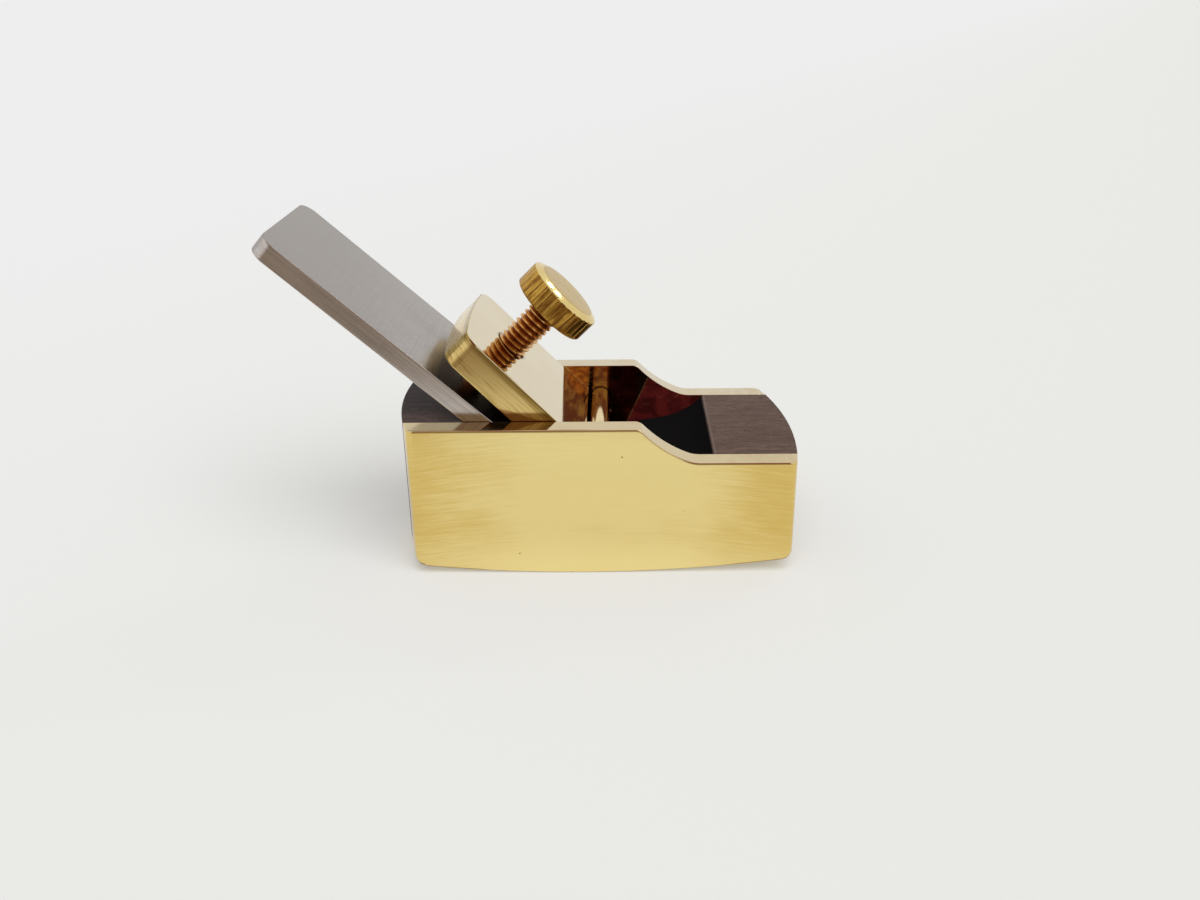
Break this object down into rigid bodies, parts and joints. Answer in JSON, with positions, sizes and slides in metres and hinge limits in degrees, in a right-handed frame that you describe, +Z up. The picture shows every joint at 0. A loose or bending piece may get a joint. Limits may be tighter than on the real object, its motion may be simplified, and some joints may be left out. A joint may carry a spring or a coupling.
{
  "type": "finger plane",
  "caption": "Small brass infill finger plane with a lengthwise curved sole, dark wood infills, a steel blade bedded at an angle, and a lever cap held by a cross pin and a knurled thumbscrew.",
  "frame": {"origin": "middle of the line where the curved sole touches a flat bench", "axes": "+X along the plane towards the toe, +Y towards the left cheek, +Z up from the bench"},
  "size_m": [0.0662, 0.0268, 0.0432],
  "materials": {
    "brushed_brass": "fine brushed",
    "polished_brass": "polished",
    "dark_wood": "oiled, satin",
    "blade_steel": "ground"
  },
  "bodies": {
    "body": {"sole": "brushed_brass", "right_cheek": "brushed_brass", "left_cheek": "brushed_brass", "rear_infill": "dark_wood", "front_infill": "dark_wood", "rear_infill_rivets": "brushed_brass", "front_infill_rivets": "brushed_brass", "cross_pin": "polished_brass"},
    "blade": {"blade": "blade_steel"},
    "cap": {"lever_cap": "polished_brass"},
    "stud": {"screw_stud": "polished_brass"},
    "head": {"screw_head": "polished_brass"}
  },
  "joints": [
    {"name": "blade_slide", "type": "slide", "parent": "body", "child": "blade", "axis": [0.7431, 0, -0.6691], "range_m": [-0.012, 0.0006]},
    {"name": "cap_tilt", "type": "hinge", "parent": "body", "child": "cap", "pos_m": [0.00258, 0, 0.01529], "axis": [0, -1, 0], "range_deg": [0, 5.5]},
    {"name": "screw_advance", "type": "slide", "parent": "cap", "child": "stud", "axis": [0.7193, 0, 0.6947], "range_m": [0, 0.00159]},
    {"name": "screw_turn", "type": "hinge", "parent": "stud", "child": "head", "pos_m": [-0.00846, 0, 0.02672], "axis": [0.7193, 0, 0.6947], "range_deg": [0, 720]}
  ],
  "couplings": [
    {"joint": "screw_turn", "follows": "screw_advance", "rad_per_m": 7913.3},
    {"joint": "cap_tilt", "follows": "screw_advance", "rad_per_m": 60.449}
  ]
}
